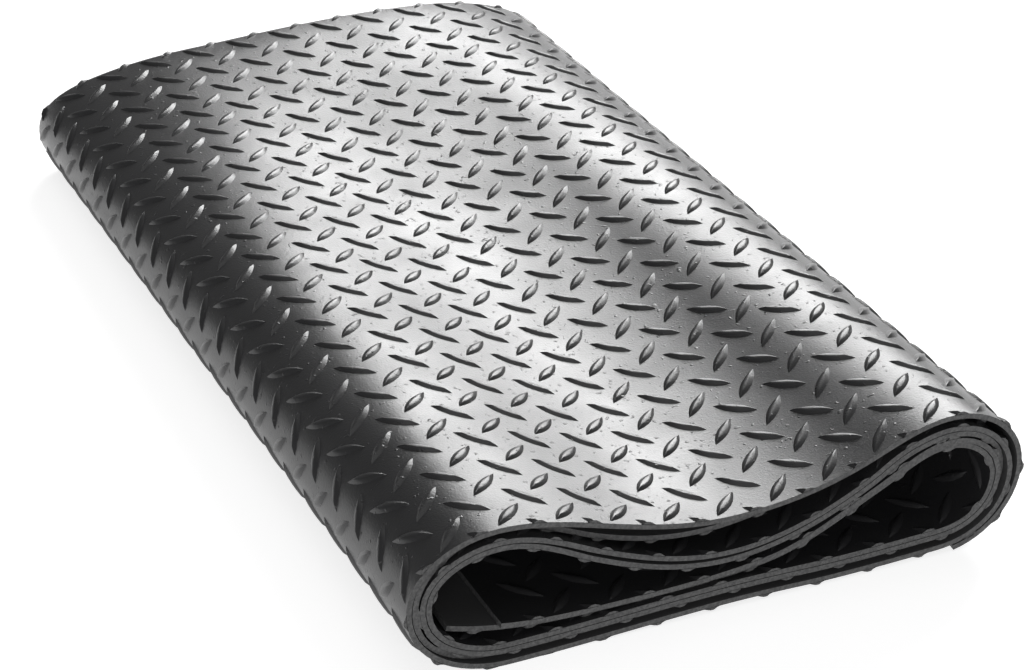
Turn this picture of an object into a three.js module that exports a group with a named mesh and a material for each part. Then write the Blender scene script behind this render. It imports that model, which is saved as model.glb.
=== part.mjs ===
import * as THREE from 'three';

// A rubber mat, folded once along its length with its smooth backs together, then rolled up flat.
// Sizes are in millimetres. X runs across the flat roll, Y along it, Z up from the floor.
// The fold lies at the far end (+Y), so the near end (-Y) shows the cut edges of every turn.

// The sheet. The upper half of its width reaches this far from its cut edge to the fold.
const SHEET_THICKNESS = 2.7;
const HALF_WIDTH = 610;
const LUG_CLEARANCE = 1.3;

// Where a size has three values, they hold at the near end, half-way along and at the far end.
// The backs of the doubled sheet stand this far apart, most at the fold. They part further in the
// dip, where the outer turn's lower half hangs free, around one knot and fading out to both sides.
const BACK_GAP = [0.8, 0.9, 1.4];
const OUTER_DIP_GAP = [6.3, 2.5, 0];
const INNER_DIP_GAP = [1.6, 1.0, 0];
const DIP_GAP_KNOT = 3.85;
const DIP_GAP_REACH = 1.4;

// Outer face of the roll, from its right side over the top to its left side
const RIGHT_REACH = [162.5, 165, 169];
const RIGHT_BULGE_HEIGHT = [42, 38, 30];
const RIGHT_CREST_X = [120, 118, 114];
const RIGHT_CREST_HEIGHT = [79.5, 71, 67.5];
const RIGHT_CREST_SLOPE = [0, -2, -11];
const RIGHT_FLANK_X = [75, 73, 70];
const RIGHT_FLANK_HEIGHT = [66, 64.8, 71];
const RIGHT_FLANK_SLOPE = [22, 14, -2];
const DIP_X = [3, 3, 3];
const DIP_HEIGHT = [52.6, 56.1, 70.2];
const DIP_SLOPE = [0, 0, 2];
const LEFT_FLANK_X = [-66, -66, -66];
const LEFT_FLANK_HEIGHT = [66, 64.6, 66.2];
const LEFT_FLANK_SLOPE = [-17, -10, 3];
const LEFT_CREST_X = [-116, -116, -122];
const LEFT_CREST_HEIGHT = [76, 69.3, 59.5];
const LEFT_CREST_SLOPE = [0, 2, 12];
const LEFT_REACH = [-162.5, -167, -171];
const LEFT_BULGE_HEIGHT = [40, 34, 26];

// Underside: flat, but arched a little at the near end. The arch fades out by a share of the length.
const BOTTOM_RIGHT_X = [118, 122, 131];
const BOTTOM_LEFT_X = [-112, -125, -144];
const BOTTOM_MIDDLE_X = 8;
const BOTTOM_ARCH = 3.5;
const BOTTOM_ARCH_SPREAD = 110;
const BOTTOM_ARCH_END = 0.55;

// The second turn hangs this much lower than the first one in the dip. The sag starts past the
// right crest, at this knot of a turn.
const INNER_SAG = [11, 11, 9];
const SAG_START_KNOT = 2.5;

// The inner end of the doubled sheet leaves the right bulge and lies down on the bottom turns.
const INNER_FLANK_DROP = [0.6, 3, 9];
const INNER_FLANK_SLOPE = [27, 24, 20];
const LANDING_X = 22;
const LANDING_SLOPE = 9;
const LANDING_LIFT = 2.5;
const RESTING_X = -56;
const TIP_X = -141;
const TIP_RISE = [11, 9, 6.5];
const TIP_SLOPE = -19;

// Knots of one turn are numbered from the bottom right, up the right side and over the top.
const KNOTS_IN_TURN = 10;
const RIGHT_CREST_KNOT = 2;
const DIP_KNOT = 4;
const LEFT_CREST_KNOT = 6;
const INNER_RUN_START = 2 * KNOTS_IN_TURN + RIGHT_CREST_KNOT;

// The two halves of the sheet end apart. These are their ends in knots, along the spiral.
const OUTER_END = { upper: 0.13, fold: 0.9, lower: 1.55 };
const INNER_END = {
  upper: INNER_RUN_START + 3.7,
  fold: INNER_RUN_START + 3.85,
  lower: INNER_RUN_START + 4,
};
const OUTER_BLEND_KNOT = 2;
const INNER_BLEND_KNOT = INNER_RUN_START + 3;

// Each turn steps inwards at the bottom right, under the outer end: half-way under the single
// half of the sheet there, and a whole turn where both halves lie above it.
const STEP_START = 9.3;
const STEP_LENGTH = 1.2;
const SINGLE_LEVEL = 0.52;

// Cut edge of the lower half lies back from the upper half's, in the outer turn and at the inner
// end. The first recess fades out over so many knots past that turn, the second one before the end.
const EDGE_RECESS = { outer: 7, inner: 4 };
const EDGE_RECESS_FADE = { outer: 2, inner: 6 };

// Number of flat strips between each knot and the next, and across the sheet
const STRIPS_OF_TURN = [10, 10, 5, 5, 5, 5, 9, 9, 2, 3];
const STRIPS_OF_INNER_RUN = [5, 5, 3, 4];
const STATIONS_ALONG = [0, 0.2, 0.42, 0.64, 0.84, 1];
const FOLD_STRIPS = 6;

const radians = THREE.MathUtils.degToRad;
const smooth = (value, from, to) => THREE.MathUtils.smoothstep(value, from, to);

// Value at a share of the roll's length, on the parabola through its three given values.
function along(values, share) {
  const [near, middle, far] = values;
  const ofNear = near * (1 - share) * (1 - 2 * share);
  const ofMiddle = middle * 4 * share * (1 - share);
  const ofFar = far * share * (2 * share - 1);
  return ofNear + ofMiddle + ofFar;
}

function backGap(share, knot) {
  const fromDip = Math.min(Math.abs(knot % KNOTS_IN_TURN - DIP_GAP_KNOT) / DIP_GAP_REACH, 1);
  const inDip = knot < INNER_RUN_START ? Math.cos(fromDip * Math.PI / 2) ** 2 : 0;
  const dipGap = knot < KNOTS_IN_TURN ? OUTER_DIP_GAP : INNER_DIP_GAP;
  return along(BACK_GAP, share) + along(dipGap, share) * inDip;
}

const doubledThickness = (share) => 2 * SHEET_THICKNESS + along(BACK_GAP, share);
const turnPitch = (share) => doubledThickness(share) + LUG_CLEARANCE;

const archHeight = (share) => BOTTOM_ARCH * (1 - smooth(share, 0, BOTTOM_ARCH_END));

// Knots of the outer face at a share of the length. Headings turn anticlockwise from +X.
function outlineKnots(share) {
  const at = (values) => along(values, share);
  return [
    { x: at(BOTTOM_RIGHT_X), z: 0, heading: 0 },
    { x: at(RIGHT_REACH), z: at(RIGHT_BULGE_HEIGHT), heading: 90 },
    { x: at(RIGHT_CREST_X), z: at(RIGHT_CREST_HEIGHT), heading: 180 + at(RIGHT_CREST_SLOPE) },
    { x: at(RIGHT_FLANK_X), z: at(RIGHT_FLANK_HEIGHT), heading: 180 + at(RIGHT_FLANK_SLOPE) },
    { x: at(DIP_X), z: at(DIP_HEIGHT), heading: 180 + at(DIP_SLOPE) },
    { x: at(LEFT_FLANK_X), z: at(LEFT_FLANK_HEIGHT), heading: 180 + at(LEFT_FLANK_SLOPE) },
    { x: at(LEFT_CREST_X), z: at(LEFT_CREST_HEIGHT), heading: 180 + at(LEFT_CREST_SLOPE) },
    { x: at(LEFT_REACH), z: at(LEFT_BULGE_HEIGHT), heading: 270 },
    { x: at(BOTTOM_LEFT_X), z: 0, heading: 360 },
    { x: BOTTOM_MIDDLE_X, z: archHeight(share), heading: 360 },
    { x: at(BOTTOM_RIGHT_X), z: 0, heading: 360 },
  ];
}

// Point and heading on the smooth curve between two knots. Its handles make it a round arc
// where the knots allow one.
function between(start, end, share) {
  const turn = radians(end.heading - start.heading);
  const isStraight = Math.abs(turn) < 1e-6;
  const chord = Math.hypot(end.x - start.x, end.z - start.z);
  const handle = chord * (isStraight ? 1 / 3 : (2 / 3) * Math.tan(turn / 4) / Math.sin(turn / 2));
  const step = (knot, length) => new THREE.Vector2(
    knot.x + length * Math.cos(radians(knot.heading)),
    knot.z + length * Math.sin(radians(knot.heading)));
  const curve = new THREE.CubicBezierCurve(
    step(start, 0),
    step(start, handle),
    step(end, -handle),
    step(end, 0));
  return { point: curve.getPoint(share), tangent: curve.getTangent(share) };
}

// Knot where one half of the sheet ends, which slants from its cut edge to the fold
const endOfHalf = (ends, half, share) => THREE.MathUtils.lerp(ends[half], ends.fold, share);

// How many turns of the doubled sheet lie outside this knot of the spiral
function level(share, knot) {
  const turnsDone = Math.max(0, Math.floor((knot - STEP_START) / KNOTS_IN_TURN));
  const inTurn = knot - turnsDone * KNOTS_IN_TURN;
  const oneEnds = KNOTS_IN_TURN + endOfHalf(OUTER_END, 'upper', share);
  const bothEnd = KNOTS_IN_TURN + endOfHalf(OUTER_END, 'lower', share);
  const underOne = SINGLE_LEVEL * smooth(inTurn, STEP_START, oneEnds);
  const underBoth = (1 - SINGLE_LEVEL) * smooth(inTurn, bothEnd - STEP_LENGTH, bothEnd);
  return turnsDone + underOne + underBoth;
}

// The inner turns hang lower than the outer one between the crests.
function sag(share, knot) {
  const knotInTurn = knot % KNOTS_IN_TURN;
  const isInner = knot > KNOTS_IN_TURN;
  const rightSide = smooth(knotInTurn, SAG_START_KNOT, DIP_KNOT);
  const leftSide = 1 - smooth(knotInTurn, DIP_KNOT, LEFT_CREST_KNOT);
  return isInner ? along(INNER_SAG, share) * Math.min(rightSide, leftSide) : 0;
}

function pointOnTurns(share, knot) {
  const knotInTurn = knot % KNOTS_IN_TURN;
  const index = Math.floor(knotInTurn);
  const knots = outlineKnots(share);
  const { point, tangent } = between(knots[index], knots[index + 1], knotInTurn - index);
  const inward = new THREE.Vector2(-tangent.y, tangent.x);
  const halfThickness = SHEET_THICKNESS + backGap(share, knot) / 2;
  const depth = halfThickness + turnPitch(share) * level(share, knot) + sag(share, knot);
  return { point: point.addScaledVector(inward, depth), tangent };
}

function knotAt(place) {
  const heading = THREE.MathUtils.radToDeg(Math.atan2(place.tangent.y, place.tangent.x));
  return { x: place.point.x, z: place.point.y, heading: heading < 0 ? heading + 360 : heading };
}

function innerRunKnots(share) {
  const stack = turnPitch(share) * 2 + doubledThickness(share) / 2;
  const fromArch = (x) => smooth(Math.abs(x - BOTTOM_MIDDLE_X), 0, BOTTOM_ARCH_SPREAD);
  const floorAt = (x) => archHeight(share) * (1 - fromArch(x));
  const flank = pointOnTurns(share, INNER_RUN_START + 1).point;
  const flankHeight = flank.y - along(INNER_FLANK_DROP, share);
  return [
    knotAt(pointOnTurns(share, INNER_RUN_START)),
    { x: flank.x, z: flankHeight, heading: 180 + along(INNER_FLANK_SLOPE, share) },
    { x: LANDING_X, z: stack + floorAt(LANDING_X) + LANDING_LIFT, heading: 180 + LANDING_SLOPE },
    { x: RESTING_X, z: stack + floorAt(RESTING_X), heading: 180 },
    { x: TIP_X, z: stack + along(TIP_RISE, share), heading: 180 + TIP_SLOPE },
  ];
}

// Middle of the doubled sheet at a knot of the spiral and a share of the roll's length
function spiral(share, knot) {
  if (knot <= INNER_RUN_START) {
    return pointOnTurns(share, knot);
  }
  const knots = innerRunKnots(share);
  const index = Math.min(Math.floor(knot - INNER_RUN_START), knots.length - 2);
  return between(knots[index], knots[index + 1], knot - INNER_RUN_START - index);
}

function stepsBetween(strips, firstKnot) {
  return strips.flatMap((count, index) =>
    Array.from({ length: count }, (_, step) => firstKnot + index + step / count));
}

// Knots of the columns of points, from the outer end to the inner end of the spiral
function columnKnots() {
  const firstKnots = [0, KNOTS_IN_TURN, 2 * KNOTS_IN_TURN];
  const wholeTurns = firstKnots.flatMap((first) => stepsBetween(STRIPS_OF_TURN, first));
  const turns = wholeTurns.filter((knot) => knot > OUTER_END.upper && knot < INNER_RUN_START);
  const innerRun = stepsBetween(STRIPS_OF_INNER_RUN, INNER_RUN_START);
  return [OUTER_END.upper, ...turns, ...innerRun, INNER_END.lower];
}

// Rows of points across the sheet: along the upper half, round the fold and back along the lower half
function sheetRows() {
  const upper = STATIONS_ALONG.map((share) => ({ share, turn: 0, half: 'upper' }));
  const lower = STATIONS_ALONG.map((share) => ({ share, turn: 180, half: 'lower' })).reverse();
  const fold = Array.from({ length: FOLD_STRIPS - 1 }, (_, step) =>
    ({ share: 1, turn: 180 * (step + 1) / FOLD_STRIPS, half: 'fold' }));
  return [...upper, ...fold, ...lower];
}

// Slide a column near an end of the spiral so that its row ends where that half of the sheet does.
function slideToEnd(knot, row) {
  const outer = endOfHalf(OUTER_END, row.half, row.share);
  const inner = endOfHalf(INNER_END, row.half, row.share);
  if (knot < OUTER_BLEND_KNOT) {
    return THREE.MathUtils.mapLinear(knot, OUTER_END.upper, OUTER_BLEND_KNOT, outer, OUTER_BLEND_KNOT);
  }
  if (knot > INNER_BLEND_KNOT) {
    return THREE.MathUtils.mapLinear(knot, INNER_BLEND_KNOT, INNER_END.lower, INNER_BLEND_KNOT, inner);
  }
  return knot;
}

function edgeRecess(knot) {
  const inOuterTurn = 1 - smooth(knot, KNOTS_IN_TURN, KNOTS_IN_TURN + EDGE_RECESS_FADE.outer);
  const atInnerEnd = smooth(knot, INNER_END.lower - EDGE_RECESS_FADE.inner, INNER_END.lower);
  return EDGE_RECESS.outer * inOuterTurn + EDGE_RECESS.inner * atInnerEnd;
}

// Outer and back face of the sheet at one column and row
function sheetPoints(columnKnot, row) {
  const knot = slideToEnd(columnKnot, row);
  const { point, tangent } = spiral(row.share, knot);
  const outward = new THREE.Vector3(tangent.y, 0, -tangent.x);
  const foldRadius = (SHEET_THICKNESS + backGap(row.share, knot)) / 2;
  const foldReach = (SHEET_THICKNESS + backGap(1, knot)) / 2 + SHEET_THICKNESS / 2;
  const straightLength = HALF_WIDTH - foldReach;
  const facing = outward.clone().multiplyScalar(Math.cos(radians(row.turn)));
  facing.y = Math.sin(radians(row.turn));
  const recess = row.half === 'lower' ? edgeRecess(columnKnot) : 0;
  const y = row.share * straightLength + (1 - row.share) * recess;
  const middle = new THREE.Vector3(point.x, y, point.y);
  middle.addScaledVector(facing, foldRadius);
  return {
    outer: middle.clone().addScaledVector(facing, SHEET_THICKNESS / 2),
    back: middle.clone().addScaledVector(facing, -SHEET_THICKNESS / 2),
  };
}

// One closed body: the outer face, the back face, and the four cut edges between them
function sheetGeometry() {
  const rows = sheetRows();
  const columns = columnKnots();
  const lastRow = rows.length - 1;
  const lastColumn = columns.length - 1;
  const positions = [];
  const indices = [];
  rows.forEach((row) => columns.forEach((knot) => {
    const { outer, back } = sheetPoints(knot, row);
    positions.push(...outer.toArray(), ...back.toArray());
  }));
  const outerAt = (row, column) => 2 * (row * columns.length + column);
  const backAt = (row, column) => outerAt(row, column) + 1;
  const addQuad = (a, b, c, d) => indices.push(a, b, c, a, c, d);
  // The lower half runs back towards the near end. Its quads are split the other way, so that
  // the facets of neighbouring sheets lie alike.
  const addFacets = (isLower, a, b, c, d) => (isLower ? addQuad(b, c, d, a) : addQuad(a, b, c, d));
  for (let row = 0; row < lastRow; row += 1) {
    const next = row + 1;
    const isLower = rows[row].half === 'lower';
    for (let column = 0; column < lastColumn; column += 1) {
      const beside = column + 1;
      addFacets(
        isLower,
        outerAt(row, column),
        outerAt(next, column),
        outerAt(next, beside),
        outerAt(row, beside));
      addFacets(
        isLower,
        backAt(row, column),
        backAt(row, beside),
        backAt(next, beside),
        backAt(next, column));
    }
    addQuad(outerAt(row, 0), backAt(row, 0), backAt(next, 0), outerAt(next, 0));
    addQuad(
      outerAt(row, lastColumn),
      outerAt(next, lastColumn),
      backAt(next, lastColumn),
      backAt(row, lastColumn));
  }
  for (let column = 0; column < lastColumn; column += 1) {
    const beside = column + 1;
    addQuad(outerAt(0, column), outerAt(0, beside), backAt(0, beside), backAt(0, column));
    addQuad(
      outerAt(lastRow, column),
      backAt(lastRow, column),
      backAt(lastRow, beside),
      outerAt(lastRow, beside));
  }
  const geometry = new THREE.BufferGeometry();
  geometry.setAttribute('position', new THREE.Float32BufferAttribute(positions, 3));
  geometry.setIndex(indices);
  return geometry;
}

function rubberMat() {
  const geometry = sheetGeometry();
  geometry.computeBoundingBox();
  const centre = geometry.boundingBox.getCenter(new THREE.Vector3());
  geometry.translate(-centre.x, -centre.y, -geometry.boundingBox.min.z);
  const rubber = new THREE.MeshStandardMaterial({ color: 0x1b1b1c, roughness: 0.42, metalness: 0 });
  const mat = new THREE.Mesh(geometry, rubber);
  mat.name = 'rubber_mat';
  return mat;
}

const part = new THREE.Group();
part.add(rubberMat());

export default part;
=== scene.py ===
import math

import bpy
import numpy as np
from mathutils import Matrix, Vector


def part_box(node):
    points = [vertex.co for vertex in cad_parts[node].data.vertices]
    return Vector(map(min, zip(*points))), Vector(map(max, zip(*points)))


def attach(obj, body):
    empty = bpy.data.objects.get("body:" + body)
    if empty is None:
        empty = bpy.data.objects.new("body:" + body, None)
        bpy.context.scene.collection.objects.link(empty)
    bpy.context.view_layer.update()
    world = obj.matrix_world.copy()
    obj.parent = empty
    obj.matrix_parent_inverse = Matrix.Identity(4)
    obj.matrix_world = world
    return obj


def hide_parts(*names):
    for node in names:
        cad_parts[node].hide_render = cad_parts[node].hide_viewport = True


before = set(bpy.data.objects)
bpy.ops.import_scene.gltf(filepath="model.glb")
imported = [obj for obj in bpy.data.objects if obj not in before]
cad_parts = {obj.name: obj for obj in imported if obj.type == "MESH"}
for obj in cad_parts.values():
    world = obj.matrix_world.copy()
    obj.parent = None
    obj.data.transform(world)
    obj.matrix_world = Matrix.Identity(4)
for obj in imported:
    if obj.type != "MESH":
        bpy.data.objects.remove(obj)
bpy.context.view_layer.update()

# A rubber mat, folded once along its length with its smooth backs together, then rolled up flat.
# Shapes are worked out in millimetres, as in the part's source, and placed in the frame in metres.
MM = 0.001

# The sheet
SHEET_THICKNESS = 2.7
HALF_WIDTH = 610

# Where a size has three values, they hold at the near end, half-way along and at the far end.
LUG_CLEARANCE = (0.9, 1.2, 1.3)
BACK_GAP = (0.4, 0.8, 1.4)

# In the dip the halves hang further apart, around this knot and mostly in the outer turn.
OUTER_DIP_GAP = (7, 2.6, 0)
INNER_DIP_GAP = (1.5, 1.0, 0)
DIP_GAP_KNOT = 4.6
DIP_GAP_REACH = 1.4

# Outer face of the roll: across, up and heading in degrees of each knot, from the bottom right,
# up the right side, over the top and back along the underside
RIGHT_REACH = (162.5, 165, 169)
RIGHT_BULGE_HEIGHT = (42, 38, 30)
RIGHT_CREST_X = (120, 118, 114)
RIGHT_CREST_HEIGHT = (79.5, 71, 67.5)
RIGHT_CREST_SLOPE = (0, -2, -11)
RIGHT_FLANK_X = (75, 73, 70)
RIGHT_FLANK_HEIGHT = (66, 64.8, 71)
RIGHT_FLANK_SLOPE = (22, 14, -2)
DIP_X = (3, 3, 3)
DIP_HEIGHT = (52.6, 56.1, 70.2)
DIP_SLOPE = (0, 0, 2)
LEFT_FLANK_X = (-66, -66, -66)
LEFT_FLANK_HEIGHT = (66, 64.6, 66.2)
LEFT_FLANK_SLOPE = (-17, -10, 3)
LEFT_CREST_X = (-116, -116, -122)
LEFT_CREST_HEIGHT = (76, 69.3, 59.5)
LEFT_CREST_SLOPE = (0, 2, 12)
LEFT_REACH = (-162.5, -167, -171)
LEFT_BULGE_HEIGHT = (40, 34, 26)
BOTTOM_RIGHT_X = (118, 122, 131)
BOTTOM_LEFT_X = (-112, -125, -144)

# The underside's middle is arched up at the near end.
BOTTOM_MIDDLE_X = 8
BOTTOM_ARCH = 3
BOTTOM_ARCH_SPREAD = 110
BOTTOM_ARCH_END = 0.55

# Inner turns, and the last run of the spiral, which leaves them and lies down on the underside
INNER_SAG = (12.3, 11.2, 9)
SAG_START_KNOT = 2.5
INNER_FLANK_DROP = (0.6, 3, 9)
INNER_FLANK_SLOPE = (27, 24, 20)
LANDING_X = 22
LANDING_SLOPE = 9
LANDING_LIFT = 2.5
RESTING_X = -56
TIP_X = -141
TIP_RISE = (11, 9, 6.5)
TIP_SLOPE = -19

# Knots along the spiral, and where each half of the sheet ends
KNOTS_IN_TURN = 10
RIGHT_CREST_KNOT = 2
DIP_KNOT = 4
LEFT_CREST_KNOT = 6
INNER_RUN_START = 2 * KNOTS_IN_TURN + RIGHT_CREST_KNOT
OUTER_END = {"upper": 0.13, "fold": 0.9, "lower": 1.55}
INNER_END = {
    "upper": INNER_RUN_START + 3.7,
    "fold": INNER_RUN_START + 3.85,
    "lower": INNER_RUN_START + 4,
}
OUTER_BLEND_KNOT = 2
INNER_BLEND_KNOT = INNER_RUN_START + 3

# Each turn steps in under the one outside it, first below the upper half's end, then the lower's.
STEP_START = 9.3
STEP_LENGTH = 1.2
SINGLE_LEVEL = 0.52

# The lower half's cut edge lies back from the upper half's in the outer turn and at the inner end,
# but is flush with it at the left side.
EDGE_RECESS = {"outer": 7, "inner": 4}
EDGE_RECESS_FADE = {"outer": 2, "inner": 6}
FLUSH_KNOT = 7
FLUSH_REACH = 1.4

# Lugs: a square lattice of leaves, with a second one between it whose leaves lie across the first
LUG_PITCH = 28.6
LUG_LENGTH = 25
LUG_WIDTH = 6.9
LUG_HEIGHT = 1.4
LUG_SINK = 0.25
FIRST_LUG_FROM_EDGE = 7.87
FIRST_LUG_FROM_DIP = 15.3
LUG_MARGIN = 9
LATTICE_REACH = 60

# A lug's slope is this wide. Its lines of points lie at the foot, at a share of the slope from the
# crest's edge, and at a share of the crest's half width.
LUG_SLOPE = 2.1
LUG_SHOULDER = 0.22
LUG_CREST_LINE = 0.6

# Mesh fineness
COLUMN_STEP = 4
STATIONS = 25
FOLD_ROWS = 8
KNOT_SAMPLES = 3000
LOOKUP_STEP = 1
OUTER_LUG_STATIONS = 11
HIDDEN_LUG_STATIONS = 7
SHEET_SHARP_ANGLE = 40
LUG_SHARP_ANGLE = 28

# Materials: noise scales are in waves to a metre, and bump distances in metres.
RUBBER_IOR = 1.52
PATCH_SCALE = 22
PATCH_DETAIL = 4
PATCH_RANGE = (0.3, 0.7)
GRAIN_SCALE = 900
GRAIN_DETAIL = 3
SPECK_SCALE = 330
SPECK_DETAIL = 1
SPECK_RANGE = (0.68, 0.78)
RUBBER_BUMP = 0.0004
CUT_ROUGHNESS = 0.75
CUT_GRAIN_SCALE = 650
CUT_GRAIN_DETAIL = 3
CUT_GRAIN_STRENGTH = 0.5
CUT_BUMP = 0.0005
CUT_TONES = ((0.35, (0.045, 0.045, 0.046, 1)), (0.75, (0.10, 0.10, 0.10, 1)))

# Studio
FLOOR_TONE = (0.6, 0.6, 0.6, 1)
FLOOR_GLOW = 0.74
FLOOR_ROUGHNESS = 0.9
FLOOR_SHINE = 0.2
FLOOR_SIZE = 16
WORLD_LIGHT = 0.2
WHITE = (1, 1, 1, 1)
LIGHT_AIM = (0, 0, 0.05)

# The photograph's view: the camera's place is from the middle of the roll's footprint.
CAMERA_PLACE = (-0.5282, -1.2709, 0.7539)
CAMERA_YAW = 23.44
CAMERA_PITCH = 28.84
CAMERA_LENS = 97.36
CAMERA_SENSOR = 36
CAMERA_CLIP = (0.05, 50)


def along(values, share):
    """Value at a share of the roll's length, on the parabola through its three given values."""
    near, middle, far = values
    of_near = near * (1 - share) * (1 - 2 * share)
    of_middle = middle * 4 * share * (1 - share)
    of_far = far * share * (2 * share - 1)
    return of_near + of_middle + of_far


def smooth(value, start, end):
    """Eased share of the way from the start to the end."""
    t = np.clip((value - start) / (end - start), 0, 1)
    return t * t * (3 - 2 * t)


def back_gap(share, knot):
    """Gap between the smooth backs of the two halves."""
    from_dip = np.minimum(abs(knot % KNOTS_IN_TURN - DIP_GAP_KNOT) / DIP_GAP_REACH, 1)
    in_dip = np.where(knot < INNER_RUN_START, np.cos(from_dip * math.pi / 2) ** 2, 0)
    outer = along(OUTER_DIP_GAP, share)
    inner = along(INNER_DIP_GAP, share)
    return along(BACK_GAP, share) + np.where(knot < KNOTS_IN_TURN, outer, inner) * in_dip


def doubled_thickness(share):
    """Thickness of the folded sheet away from the dip."""
    return 2 * SHEET_THICKNESS + along(BACK_GAP, share)


def turn_pitch(share):
    """Depth that one turn takes up."""
    return doubled_thickness(share) + along(LUG_CLEARANCE, share)


def arch_height(share):
    """How far the underside's middle is off the floor."""
    return BOTTOM_ARCH * (1 - smooth(share, 0, BOTTOM_ARCH_END))


def outline_knots(share):
    """Across, up and heading of the knots of the outer face."""

    def knot(x, z, slope, heading):
        return along(x, share), along(z, share), heading + along(slope, share)

    none = (0, 0, 0)
    return np.array(
        [
            knot(BOTTOM_RIGHT_X, none, none, 0),
            knot(RIGHT_REACH, RIGHT_BULGE_HEIGHT, none, 90),
            knot(RIGHT_CREST_X, RIGHT_CREST_HEIGHT, RIGHT_CREST_SLOPE, 180),
            knot(RIGHT_FLANK_X, RIGHT_FLANK_HEIGHT, RIGHT_FLANK_SLOPE, 180),
            knot(DIP_X, DIP_HEIGHT, DIP_SLOPE, 180),
            knot(LEFT_FLANK_X, LEFT_FLANK_HEIGHT, LEFT_FLANK_SLOPE, 180),
            knot(LEFT_CREST_X, LEFT_CREST_HEIGHT, LEFT_CREST_SLOPE, 180),
            knot(LEFT_REACH, LEFT_BULGE_HEIGHT, none, 270),
            knot(BOTTOM_LEFT_X, none, none, 360),
            (BOTTOM_MIDDLE_X, arch_height(share), 360),
            knot(BOTTOM_RIGHT_X, none, none, 360),
        ]
    )


def directions(headings):
    """Unit vectors of headings in degrees."""
    angles = np.radians(headings)
    return np.stack([np.cos(angles), np.sin(angles)], -1)


def between(start, end, t):
    """Points on the smooth curves between knots, which are round arcs where the knots allow one."""
    least_turn = 1e-6
    turn = np.radians(end[:, 2] - start[:, 2])
    is_straight = abs(turn) < least_turn
    bend = np.where(is_straight, 1, turn)
    per_chord = np.where(is_straight, 1 / 3, 2 / 3 * np.tan(bend / 4) / np.sin(bend / 2))
    handle = (np.hypot(*(end - start)[:, :2].T) * per_chord)[:, None]
    first, last = start[:, :2], end[:, :2]
    second = first + handle * directions(start[:, 2])
    third = last - handle * directions(end[:, 2])
    t = t[:, None]
    back = 1 - t
    return back**3 * first + 3 * back**2 * t * second + 3 * back * t**2 * third + t**3 * last


def headings_of(points, knots):
    """Unit vectors along a line of points."""
    steps = np.gradient(points, knots, axis=0)
    return steps / np.linalg.norm(steps, axis=1, keepdims=True)


def outward_of(tangents):
    """Unit vectors to the right of a line's course, which is outward on the spiral."""
    return np.stack([tangents[:, 1], -tangents[:, 0]], -1)


def end_of_half(ends, half, share):
    """Knot at which a half ends, at a share of the roll's length."""
    return ends[half] + (ends["fold"] - ends[half]) * share


def level(share, knots):
    """How many turns of the doubled sheet lie outside each knot of the spiral."""
    turns_done = np.maximum(0, np.floor((knots - STEP_START) / KNOTS_IN_TURN))
    in_turn = knots - turns_done * KNOTS_IN_TURN
    one_ends = KNOTS_IN_TURN + end_of_half(OUTER_END, "upper", share)
    both_end = KNOTS_IN_TURN + end_of_half(OUTER_END, "lower", share)
    under_one = SINGLE_LEVEL * smooth(in_turn, STEP_START, one_ends)
    under_both = (1 - SINGLE_LEVEL) * smooth(in_turn, both_end - STEP_LENGTH, both_end)
    return turns_done + under_one + under_both


def sag(share, knots):
    """The inner turns hang lower than the outer one between the crests."""
    in_turn = knots % KNOTS_IN_TURN
    right_side = smooth(in_turn, SAG_START_KNOT, DIP_KNOT)
    left_side = 1 - smooth(in_turn, DIP_KNOT, LEFT_CREST_KNOT)
    hang = along(INNER_SAG, share) * np.minimum(right_side, left_side)
    return np.where(knots > KNOTS_IN_TURN, hang, 0)


def points_on_turns(share, knots):
    """Middle line of the doubled sheet, and unit vectors along it, where it follows the outline."""
    in_turn = knots % KNOTS_IN_TURN
    index = np.floor(in_turn).astype(int)
    outline = outline_knots(share)
    nearby = 1e-4
    start, end = outline[index], outline[index + 1]
    t = in_turn - index
    points = between(start, end, t)
    before = between(start, end, t - nearby)
    after = between(start, end, t + nearby)
    tangents = (after - before) / np.linalg.norm(after - before, axis=1, keepdims=True)
    half_thickness = SHEET_THICKNESS + back_gap(share, knots) / 2
    depth = half_thickness + turn_pitch(share) * level(share, knots) + sag(share, knots)
    return points - outward_of(tangents) * depth[:, None], tangents


def inner_run_knots(share):
    """Across, up and heading of the knots of the spiral's last run."""
    stack = turn_pitch(share) * 2 + doubled_thickness(share) / 2

    def floor_at(x):
        return arch_height(share) * (1 - smooth(abs(x - BOTTOM_MIDDLE_X), 0, BOTTOM_ARCH_SPREAD))

    points, tangents = points_on_turns(share, np.array([INNER_RUN_START, INNER_RUN_START + 1.0]))
    start_heading = math.degrees(math.atan2(tangents[0][1], tangents[0][0])) % 360
    flank_height = points[1][1] - along(INNER_FLANK_DROP, share)
    landing_height = stack + floor_at(LANDING_X) + LANDING_LIFT
    return np.array(
        [
            (points[0][0], points[0][1], start_heading),
            (points[1][0], flank_height, 180 + along(INNER_FLANK_SLOPE, share)),
            (LANDING_X, landing_height, 180 + LANDING_SLOPE),
            (RESTING_X, stack + floor_at(RESTING_X), 180),
            (TIP_X, stack + along(TIP_RISE, share), 180 + TIP_SLOPE),
        ]
    )


def spiral(share, knots):
    """Middle line of the doubled sheet at a share of the roll's length."""
    on_turns = knots <= INNER_RUN_START
    points = np.empty((len(knots), 2))
    points[on_turns] = points_on_turns(share, knots[on_turns])[0]
    run = inner_run_knots(share)
    on_run = knots[~on_turns] - INNER_RUN_START
    index = np.minimum(on_run.astype(int), len(run) - 2)
    points[~on_turns] = between(run[index], run[index + 1], on_run - index)
    return points


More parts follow.
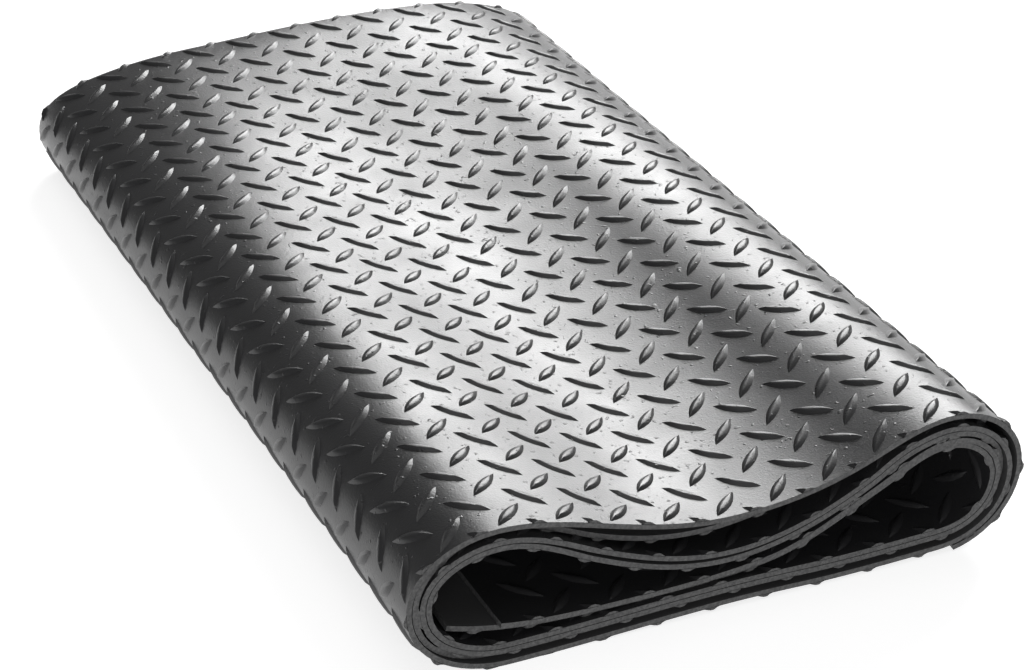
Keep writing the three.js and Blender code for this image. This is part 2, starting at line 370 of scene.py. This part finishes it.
ALL_KNOTS = np.linspace(OUTER_END["upper"], INNER_END["lower"], KNOT_SAMPLES)
SHARES = np.linspace(0, 1, STATIONS)
FOLD_RADIUS = (SHEET_THICKNESS + BACK_GAP[2]) / 2
FOLD_REACH = FOLD_RADIUS + SHEET_THICKNESS / 2
STRAIGHT_LENGTH = HALF_WIDTH - FOLD_REACH
FOLD_ARC = math.pi * FOLD_REACH


def half_lines():
    """Middle line, outward directions and length from the dip of each half, at every station."""
    lines = {"upper": [], "lower": []}
    for share in SHARES:
        middle = spiral(share, ALL_KNOTS)
        outward = outward_of(headings_of(middle, ALL_KNOTS))
        offset = (SHEET_THICKNESS + back_gap(share, ALL_KNOTS)[:, None]) / 2
        for half, side in (("upper", 1), ("lower", -1)):
            points = middle + side * offset * outward
            steps = np.linalg.norm(np.diff(points, axis=0), axis=1)
            length = np.concatenate([[0], np.cumsum(steps)])
            length -= np.interp(DIP_KNOT, ALL_KNOTS, length)
            lines[half].append((length, points, outward_of(headings_of(points, ALL_KNOTS))))
    return lines


LINES = half_lines()


def lookup_tables():
    """Each half's points, directions and knots at even steps along the sheet, at every station."""
    tables = {}
    for half, stations in LINES.items():
        first = min(length[0] for length, _, _ in stations)
        last = max(length[-1] for length, _, _ in stations)
        steps = np.arange(first, last + LOOKUP_STEP, LOOKUP_STEP)
        rows = []
        for length, points, outward in stations:
            columns = [points[:, 0], points[:, 1], outward[:, 0], outward[:, 1], ALL_KNOTS]
            rows.append(np.stack([np.interp(steps, length, column) for column in columns], -1))
        tables[half] = (first, np.array(rows))
    return tables


TABLES = lookup_tables()


def look_up(half, length, share):
    """Point, outward direction and knot on a half of the sheet, for arrays of places."""
    # The last place of a row or column still lies inside its last cell.
    last_place = 1.001
    first, rows = TABLES[half]
    column = np.clip((length - first) / LOOKUP_STEP, 0, rows.shape[1] - last_place)
    row = np.clip(share, 0, 1) * (STATIONS - last_place)
    i, j = row.astype(int), column.astype(int)
    a, b = (row - i)[:, None], (column - j)[:, None]
    low = rows[i, j] * (1 - b) + rows[i, j + 1] * b
    high = rows[i + 1, j] * (1 - b) + rows[i + 1, j + 1] * b
    found = low * (1 - a) + high * a
    return found[:, :2], found[:, 2:4], found[:, 4]


def edge_recess(knots):
    """How far the lower half's cut edge lies back from the upper half's."""
    outer_fade = KNOTS_IN_TURN + EDGE_RECESS_FADE["outer"]
    away_from_left_side = smooth(abs(knots - FLUSH_KNOT), 0, FLUSH_REACH)
    in_outer_turn = away_from_left_side * (1 - smooth(knots, KNOTS_IN_TURN, outer_fade))
    inner_fade = INNER_END["lower"] - EDGE_RECESS_FADE["inner"]
    at_inner_end = smooth(knots, inner_fade, INNER_END["lower"])
    return EDGE_RECESS["outer"] * in_outer_turn + EDGE_RECESS["inner"] * at_inner_end


def on_sheet(length, across, height):
    """Places on the sheet's lug side: so far along it from the dip, across it and above its face."""
    share_up = across / STRAIGHT_LENGTH
    share_down = 1 - (across - STRAIGHT_LENGTH - FOLD_ARC) / STRAIGHT_LENGTH
    turn = np.clip((across - STRAIGHT_LENGTH) / FOLD_REACH, 0, math.pi)
    up_point, up_out, up_knot = look_up("upper", length, share_up)
    low_point, low_out, low_knot = look_up("lower", length, share_down)
    # Both halves' middle lines lead to the middle of the doubled sheet, about which the fold turns.
    up_gap = (SHEET_THICKNESS + back_gap(np.clip(share_up, 0, 1), up_knot)[:, None]) / 2
    low_gap = (SHEET_THICKNESS + back_gap(np.clip(share_down, 0, 1), up_knot)[:, None]) / 2
    blend = (turn / math.pi)[:, None]
    is_up = (turn <= 0)[:, None]
    is_down = (turn >= math.pi)[:, None]
    middle = (up_point - up_out * up_gap) * (1 - blend) + (low_point + low_out * low_gap) * blend
    out = up_out * (1 - blend) + low_out * blend
    reach = FOLD_REACH + height
    in_fold = middle + out * (np.cos(turn) * reach)[:, None]
    above_up = up_point + up_out * (SHEET_THICKNESS / 2 + height)[:, None]
    below_low = low_point - low_out * (SHEET_THICKNESS / 2 + height)[:, None]
    flat = np.where(is_up, above_up, np.where(is_down, below_low, in_fold))
    y_up = share_up * STRAIGHT_LENGTH
    y_fold = STRAIGHT_LENGTH + np.sin(turn) * reach
    y_low = share_down * STRAIGHT_LENGTH + (1 - share_down) * edge_recess(low_knot)
    y = np.where(turn <= 0, y_up, np.where(turn >= math.pi, y_low, y_fold))
    return np.stack([flat[:, 0], y, flat[:, 1]], -1)


def slide_to_end(knots, half, share):
    """Columns near an end of the spiral slide so that each row ends where its half does."""
    outer = end_of_half(OUTER_END, half, share)
    inner = end_of_half(INNER_END, half, share)
    from_outer = np.interp(
        knots, [OUTER_END["upper"], OUTER_BLEND_KNOT], [outer, OUTER_BLEND_KNOT]
    )
    to_inner = np.interp(knots, [INNER_BLEND_KNOT, INNER_END["lower"]], [INNER_BLEND_KNOT, inner])
    ends = np.where(knots > INNER_BLEND_KNOT, to_inner, knots)
    return np.where(knots < OUTER_BLEND_KNOT, from_outer, ends)


def column_knots():
    """Knots of the sheet's columns, which lie at even steps along the spiral."""
    middle = spiral(0.5, ALL_KNOTS)
    steps = np.linalg.norm(np.diff(middle, axis=0), axis=1)
    length = np.concatenate([[0], np.cumsum(steps)])
    count = int(length[-1] / COLUMN_STEP)
    return np.interp(np.linspace(0, length[-1], count), length, ALL_KNOTS)


def sheet_rows():
    """Share of the length, turn about the fold and half of each row, from cut edge to cut edge."""
    upper = [(share, 0.0, "upper") for share in SHARES]
    fold = [(1.0, math.pi * row / FOLD_ROWS, "fold") for row in range(1, FOLD_ROWS)]
    lower = [(share, math.pi, "lower") for share in SHARES[::-1]]
    return upper + fold + lower


def sheet_faces():
    """Points of the lug side and of the back, row by row."""
    columns = column_knots()
    lug_side, back = [], []
    for share, turn, half in sheet_rows():
        knots = slide_to_end(columns, half, share)
        middle = spiral(share, knots)
        outward = outward_of(headings_of(middle, knots))
        gap = (SHEET_THICKNESS + back_gap(share, knots)) / 2
        recess = edge_recess(columns) * (1 - share) if half == "lower" else 0
        for side, rows in ((1, lug_side), (-1, back)):
            reach = gap + side * SHEET_THICKNESS / 2
            flat = middle + outward * (math.cos(turn) * reach)[:, None]
            y = share * STRAIGHT_LENGTH + recess + math.sin(turn) * reach
            rows.append(np.stack([flat[:, 0], y, flat[:, 1]], -1))
    return np.array(lug_side), np.array(back)


def grid_faces(index):
    """Quads of a grid of vertex numbers."""
    a, b = index[:-1, :-1].ravel(), index[1:, :-1].ravel()
    c, d = index[1:, 1:].ravel(), index[:-1, 1:].ravel()
    return np.stack([a, b, c, d], -1)


def make_object(name, points, faces, materials, face_materials, sharp_angle):
    mesh = bpy.data.meshes.new(name)
    mesh.from_pydata(points.tolist(), [], faces.tolist())
    for material in materials:
        mesh.materials.append(material)
    mesh.polygons.foreach_set("material_index", face_materials.astype(np.int32))
    mesh.polygons.foreach_set("use_smooth", np.ones(len(faces), bool))
    mesh.set_sharp_from_angle(angle=math.radians(sharp_angle))
    mesh.update()
    piece = bpy.data.objects.new(name, mesh)
    bpy.context.collection.objects.link(piece)
    return piece


lug_side, sheet_back = sheet_faces()
sheet_points = np.concatenate([lug_side.reshape(-1, 3), sheet_back.reshape(-1, 3)])


def roll_shift():
    """Way from where the roll is worked out to the middle of the node's box, and down to its foot."""
    low, high = sheet_points.min(0), sheet_points.max(0)
    node_low, node_high = (np.array(corner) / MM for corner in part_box("rubber_mat"))
    shift = (node_low + node_high) / 2 - (low + high) / 2
    shift[2] = node_low[2] - low[2]
    return shift


ROLL_SHIFT = roll_shift()


def in_frame(points):
    """Millimetres of the unplaced roll as metres in the frame."""
    return (points + ROLL_SHIFT) * MM


def noise(nodes, links, coordinates, scale, detail, x, y):
    texture = nodes.new("ShaderNodeTexNoise")
    texture.location = (x, y)
    texture.inputs["Scale"].default_value = scale
    texture.inputs["Detail"].default_value = detail
    links.new(coordinates, texture.inputs["Vector"])
    return texture.outputs["Fac"]


def remap(nodes, links, value, from_range, to_range, x, y):
    node = nodes.new("ShaderNodeMapRange")
    node.location = (x, y)
    node.inputs["From Min"].default_value, node.inputs["From Max"].default_value = from_range
    node.inputs["To Min"].default_value, node.inputs["To Max"].default_value = to_range
    links.new(value, node.inputs["Value"])
    return node.outputs["Result"]


def bump(nodes, links, height, strength, distance, before, x, y):
    node = nodes.new("ShaderNodeBump")
    node.location = (x, y)
    node.inputs["Strength"].default_value = strength
    node.inputs["Distance"].default_value = distance
    links.new(height, node.inputs["Height"])
    if before is not None:
        links.new(before, node.inputs["Normal"])
    return node.outputs["Normal"]


def rubber_material(name, colour, roughness_range, grain, specks):
    """Black rubber with a fine moulded grain and a few raised specks of dust and flash."""
    material = bpy.data.materials.new(name)
    material.use_nodes = True
    nodes, links = material.node_tree.nodes, material.node_tree.links
    shader = nodes["Principled BSDF"]
    shader.inputs["Base Color"].default_value = (*colour, 1)
    shader.inputs["IOR"].default_value = RUBBER_IOR
    place = nodes.new("ShaderNodeTexCoord")
    place.location = (-1300, 0)
    where = place.outputs["Object"]
    patches = noise(nodes, links, where, PATCH_SCALE, PATCH_DETAIL, -1050, 250)
    roughness = remap(nodes, links, patches, PATCH_RANGE, roughness_range, -400, 250)
    links.new(roughness, shader.inputs["Roughness"])
    fine = noise(nodes, links, where, GRAIN_SCALE, GRAIN_DETAIL, -1050, 0)
    grained = bump(nodes, links, fine, grain, RUBBER_BUMP, None, -650, 0)
    dots = noise(nodes, links, where, SPECK_SCALE, SPECK_DETAIL, -1050, -250)
    raised = remap(nodes, links, dots, SPECK_RANGE, (0, 1), -850, -250)
    normal = bump(nodes, links, raised, specks, RUBBER_BUMP, grained, -400, -150)
    links.new(normal, shader.inputs["Normal"])
    return material


def cut_material():
    """Cut edges: matt grey-black with light grains of rubber."""
    material = bpy.data.materials.new("cut_rubber")
    material.use_nodes = True
    nodes, links = material.node_tree.nodes, material.node_tree.links
    shader = nodes["Principled BSDF"]
    shader.inputs["Roughness"].default_value = CUT_ROUGHNESS
    place = nodes.new("ShaderNodeTexCoord")
    place.location = (-1300, 0)
    where = place.outputs["Object"]
    grains = noise(nodes, links, where, CUT_GRAIN_SCALE, CUT_GRAIN_DETAIL, -1050, 200)
    tone = nodes.new("ShaderNodeValToRGB")
    tone.location = (-400, 200)
    for stop, (position, colour) in zip(tone.color_ramp.elements, CUT_TONES):
        stop.position = position
        stop.color = colour
    links.new(grains, tone.inputs["Fac"])
    links.new(tone.outputs["Color"], shader.inputs["Base Color"])
    normal = bump(nodes, links, grains, CUT_GRAIN_STRENGTH, CUT_BUMP, None, -400, -150)
    links.new(normal, shader.inputs["Normal"])
    return material


RUBBER = rubber_material(
    "black_rubber", (0.018, 0.018, 0.019), roughness_range=(0.3, 0.39), grain=0.25, specks=0.5
)
BACK = rubber_material(
    "rubber_back", (0.045, 0.045, 0.046), roughness_range=(0.55, 0.65), grain=0.3, specks=0.2
)
CUT = cut_material()


def make_sheet():
    """The whole sheet as one closed mesh: lug side, back and the four cut edges."""
    rows, columns = lug_side.shape[:2]
    outer = np.arange(rows * columns).reshape(rows, columns)
    back = outer + rows * columns
    side_faces = [grid_faces(outer), grid_faces(back)[:, ::-1]]
    cut_faces = [
        grid_faces(np.stack([back[0], outer[0]])),
        grid_faces(np.stack([outer[-1], back[-1]])),
        grid_faces(np.stack([outer[:, 0], back[:, 0]])),
        grid_faces(np.stack([back[:, -1], outer[:, -1]])),
    ]
    materials = [RUBBER, CUT, BACK]
    face_counts = [len(side_faces[0]), len(side_faces[1]), sum(map(len, cut_faces))]
    face_materials = np.repeat([0, 2, 1], face_counts)
    points, faces = in_frame(sheet_points), np.concatenate(side_faces + cut_faces)
    return make_object("mat_sheet", points, faces, materials, face_materials, SHEET_SHARP_ANGLE)


def lug_pattern(stations):
    """One lug: places along and to the side of its middle, as a grid of stations and lines."""
    t = np.sin(np.linspace(-math.pi / 2, math.pi / 2, stations))
    half_width = LUG_WIDTH / 2 * (1 - t**2)
    crest = np.maximum(half_width - LUG_SLOPE, 0)
    shoulder = crest + (half_width - crest) * LUG_SHOULDER
    crest_line = crest * LUG_CREST_LINE
    lateral = np.stack([-half_width, -shoulder, -crest_line, crest_line, shoulder, half_width], 1)
    forward = np.repeat(t[:, None] * LUG_LENGTH / 2, lateral.shape[1], 1)
    return forward, lateral


def lug_height(forward, lateral):
    """Height of a lug above the sheet: straight slopes up to a narrow crest."""
    half_width = LUG_WIDTH / 2 * (1 - (2 * forward / LUG_LENGTH) ** 2)
    up_slope = np.clip((half_width - abs(lateral)) / LUG_SLOPE, 0, 1)
    return (LUG_HEIGHT + LUG_SINK) * up_slope - LUG_SINK


def lug_centres():
    """Lattice places on the flat mat, as length from the dip and distance from the first cut edge,
    with the way in which each lug's long axis slants."""
    full_width = 2 * STRAIGHT_LENGTH + FOLD_ARC
    centres = []
    for offset, slant in ((0, 1), (0.5, -1)):
        places = np.arange(-LATTICE_REACH + offset, LATTICE_REACH)
        lengths = places * LUG_PITCH - FIRST_LUG_FROM_DIP
        across = (places + FIRST_LUG_FROM_EDGE) * LUG_PITCH
        across = across[(across > -LUG_MARGIN) & (across < full_width + LUG_MARGIN)]
        length, width = np.meshgrid(lengths, across)
        centres.append(np.stack([length.ravel(), width.ravel(), np.full(length.size, slant)], -1))
    return np.concatenate(centres)


def ends_at(half, share, which):
    """Length from the dip at which a half ends."""
    station = int(round(share * (STATIONS - 1)))
    length = LINES[half][station][0]
    ends = OUTER_END if which == "outer" else INNER_END
    return np.interp(end_of_half(ends, half, share), ALL_KNOTS, length)


def keep_on_mat(centres):
    """Lugs whose whole length lies between the two ends of the spiral."""
    length, across = centres[:, 0], centres[:, 1]
    is_upper = across < STRAIGHT_LENGTH + FOLD_ARC / 2
    share = np.where(
        is_upper,
        across / STRAIGHT_LENGTH,
        1 - (across - STRAIGHT_LENGTH - FOLD_ARC) / STRAIGHT_LENGTH,
    )
    share = np.clip(share, 0, 1)
    kept = np.zeros(len(centres), bool)
    for half, mask in (("upper", is_upper), ("lower", ~is_upper)):
        first = np.interp(share, SHARES, [ends_at(half, s, "outer") for s in SHARES])
        last = np.interp(share, SHARES, [ends_at(half, s, "inner") for s in SHARES])
        kept |= mask & (length > first + LUG_MARGIN) & (length < last - LUG_MARGIN)
    return centres[kept], is_upper[kept]


def make_lugs(name, centres, stations):
    """One joined mesh of lugs, bent with the sheet and cut off at the mat's cut edges."""
    forward, lateral = lug_pattern(stations)
    centre_length, centre_across, slant = (centres[:, k, None, None] for k in range(3))
    # The two cut edges cross the lug at these places along it.
    full_width = 2 * STRAIGHT_LENGTH + FOLD_ARC
    first_cut = -centre_across * math.sqrt(2) + slant * lateral
    last_cut = (full_width - centre_across) * math.sqrt(2) + slant * lateral
    kept = np.clip(forward, first_cut, last_cut)
    past_first, past_last = forward < first_cut, forward > last_cut
    height = lug_height(kept, lateral)
    # Of the stations past a cut, the nearest one makes its rim and the rest close its face.
    beyond_first, beyond_last = np.zeros_like(past_first), np.zeros_like(past_last)
    beyond_first[:, :-1] = past_first[:, :-1] & past_first[:, 1:]
    beyond_last[:, 1:] = past_last[:, 1:] & past_last[:, :-1]
    height = np.where(beyond_first | beyond_last, -LUG_SINK, height)
    # The long axis runs across the sheet, and along it towards the inner or the outer end.
    length = centre_length + (slant * kept + lateral) / math.sqrt(2)
    across = centre_across + (kept - slant * lateral) / math.sqrt(2)
    points = in_frame(on_sheet(length.ravel(), across.ravel(), height.ravel()))
    points[:, 2] = np.maximum(points[:, 2], 0)
    pattern = grid_faces(np.arange(forward.size).reshape(forward.shape))
    faces = (np.arange(len(centres))[:, None, None] * forward.size + pattern).reshape(-1, 4)
    flipped = np.repeat(slant.ravel() > 0, len(pattern))
    faces[flipped] = faces[flipped][:, ::-1]
    at_cut = (past_first | past_last).ravel()[faces].all(1)
    return make_object(name, points, faces, [RUBBER, CUT], at_cut, LUG_SHARP_ANGLE)


sheet = make_sheet()
centres, is_upper = keep_on_mat(lug_centres())
outer_turn = np.interp(KNOTS_IN_TURN, ALL_KNOTS, LINES["upper"][0][0])
is_outer = is_upper & (centres[:, 0] < outer_turn)
pieces = [
    sheet,
    make_lugs("lugs_outer", centres[is_outer], OUTER_LUG_STATIONS),
    make_lugs("lugs_inner", centres[is_upper & ~is_outer], HIDDEN_LUG_STATIONS),
    make_lugs("lugs_lower", centres[~is_upper], HIDDEN_LUG_STATIONS),
]
for piece in pieces:
    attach(piece, "root")
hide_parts("rubber_mat")


def make_floor():
    material = bpy.data.materials.new("pale_floor")
    material.use_nodes = True
    shader = material.node_tree.nodes["Principled BSDF"]
    shader.inputs["Base Color"].default_value = FLOOR_TONE
    shader.inputs["Emission Color"].default_value = WHITE
    shader.inputs["Emission Strength"].default_value = FLOOR_GLOW
    shader.inputs["Roughness"].default_value = FLOOR_ROUGHNESS
    shader.inputs["Specular IOR Level"].default_value = FLOOR_SHINE
    bpy.ops.mesh.primitive_plane_add(size=FLOOR_SIZE, location=(0, 0, 0))
    floor = bpy.context.object
    floor.name = "floor"
    floor.data.materials.append(material)


def area_light(name, place, size, power):
    data = bpy.data.lights.new(name, "AREA")
    data.shape = "RECTANGLE"
    data.size, data.size_y = size
    data.energy = power
    light = bpy.data.objects.new(name, data)
    light.location = place
    light.rotation_euler = (Vector(LIGHT_AIM) - Vector(place)).to_track_quat("-Z", "Y").to_euler()
    bpy.context.collection.objects.link(light)


def make_studio():
    make_floor()
    world = bpy.data.worlds.new("studio")
    world.use_nodes = True
    background = world.node_tree.nodes["Background"]
    background.inputs["Color"].default_value = WHITE
    background.inputs["Strength"].default_value = WORLD_LIGHT
    bpy.context.scene.world = world
    area_light("back_softbox", (1.5, 1.9, 1.4), size=(2.0, 1.15), power=90)
    area_light("top_softbox", (-0.3, -0.4, 3.0), size=(2.5, 2.5), power=14)
    area_light("front_fill", (-0.9, -2.6, 1.0), size=(1.6, 1.2), power=24)


def make_camera():
    data = bpy.data.cameras.new("photo_view")
    data.sensor_width = CAMERA_SENSOR
    data.lens = CAMERA_LENS
    data.clip_start, data.clip_end = CAMERA_CLIP
    camera = bpy.data.objects.new("photo_view", data)
    camera.location = CAMERA_PLACE
    camera.rotation_euler = (math.radians(90 - CAMERA_PITCH), 0, math.radians(-CAMERA_YAW))
    bpy.context.collection.objects.link(camera)
    bpy.context.scene.camera = camera


make_studio()
make_camera()
bpy.context.scene.view_settings.view_transform = "Standard"
